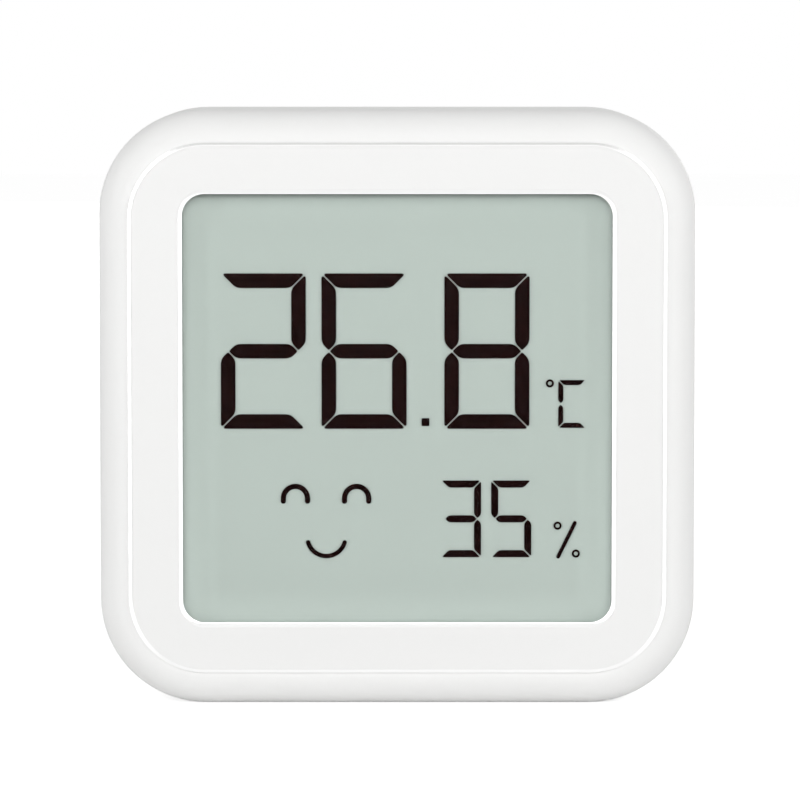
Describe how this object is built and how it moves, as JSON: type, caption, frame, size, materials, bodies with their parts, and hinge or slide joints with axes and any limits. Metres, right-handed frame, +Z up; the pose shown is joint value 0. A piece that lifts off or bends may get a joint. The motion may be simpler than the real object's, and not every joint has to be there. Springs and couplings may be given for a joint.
{
  "type": "temperature humidity sensor",
  "caption": "Compact rounded-square room sensor: satin case, bevelled window over a segment display, side air slots, rear pairing button and push-on back cover.",
  "frame": {"origin": "middle of the underside", "axes": "+Z up, -Y the way the display faces, +Y towards the back cover, +X to the right as seen from the front"},
  "size_m": [0.043, 0.0126, 0.043],
  "materials": {
    "case_plastic": "fine satin",
    "cover_plastic": "fine satin",
    "button_plastic": "fine satin",
    "tray_plastic": "satin",
    "frame_plastic": "satin",
    "clear_window": "clear, polished",
    "front_film": "clear film",
    "display_glass": "clear",
    "tape": "adhesive film",
    "gasket_rubber": "matte",
    "seal_resin": "resin",
    "dark_marks": "dark liquid crystal",
    "reflector": "reflective film",
    "strip_rubber": "silicone with carbon layers",
    "gold": "gold plate",
    "board_laminate": "solder mask",
    "chip_plastic": "moulded epoxy",
    "tin": "tin plate",
    "steel": "satin",
    "cell_steel": "nickel plate",
    "capacitor_ceramic": "fired",
    "resistor_ceramic": "glazed top",
    "tantalum_case": "moulded",
    "copper": "under mask",
    "filter_membrane": "membrane",
    "plunger_plastic": "moulded",
    "seal_plastic": "moulded",
    "cathode_pellet": "pressed powder",
    "separator_cloth": "non-woven",
    "soft_metal": "dull"
  },
  "bodies": {
    "housing": {"front_shell": "case_plastic", "lens_tape": "tape", "display_window": "clear_window", "display_gasket": "gasket_rubber", "front_polariser": "front_film", "front_glass": "display_glass", "edge_seal": "seal_resin", "temperature_digits": "dark_marks", "temperature_unit": "dark_marks", "humidity_digits": "dark_marks", "percent_sign": "dark_marks", "comfort_face": "dark_marks", "rear_glass": "display_glass", "rear_polariser": "reflector", "display_frame": "frame_plastic", "connector_strip": "strip_rubber", "connector_pads": "gold", "main_board": "board_laminate", "radio_chip": "chip_plastic", "display_driver": "chip_plastic", "driver_leads": "tin", "crystal": "steel", "chip_capacitors": "capacitor_ceramic", "chip_resistors": "resistor_ceramic", "bulk_capacitor": "tantalum_case", "chip_terminals": "tin", "printed_antenna": "copper", "test_pads": "gold", "sensor_chip": "chip_plastic", "sensor_filter": "filter_membrane", "switch_body": "chip_plastic", "switch_cover": "steel", "negative_contact": "tin", "positive_contact": "tin", "battery_tray": "tray_plastic", "tray_screws": "steel"},
    "pair_button": {"button_cap": "button_plastic", "switch_plunger": "plunger_plastic"},
    "coin_cell": {"cell_can": "cell_steel", "cell_gasket": "seal_plastic", "cell_cap": "cell_steel", "cell_cathode": "cathode_pellet", "cell_separator": "separator_cloth", "cell_anode": "soft_metal"},
    "back_cover": {"back_cover": "cover_plastic"}
  },
  "joints": [
    {"name": "pair_button_press", "type": "slide", "parent": "housing", "child": "pair_button", "axis": [0, -1, 0], "range_m": [0, 0.00025], "stiffness_N_per_m": 2000},
    {"name": "back_cover_slide", "type": "slide", "parent": "housing", "child": "back_cover", "axis": [0, 1, 0], "range_m": [0, 0.03]},
    {"name": "coin_cell_slide", "type": "slide", "parent": "housing", "child": "coin_cell", "axis": [0, 1, 0], "range_m": [0, 0.015]}
  ],
  "couplings": [
    {"joint": "coin_cell_slide", "follows": "back_cover_slide", "ratio": 0.5}
  ]
}
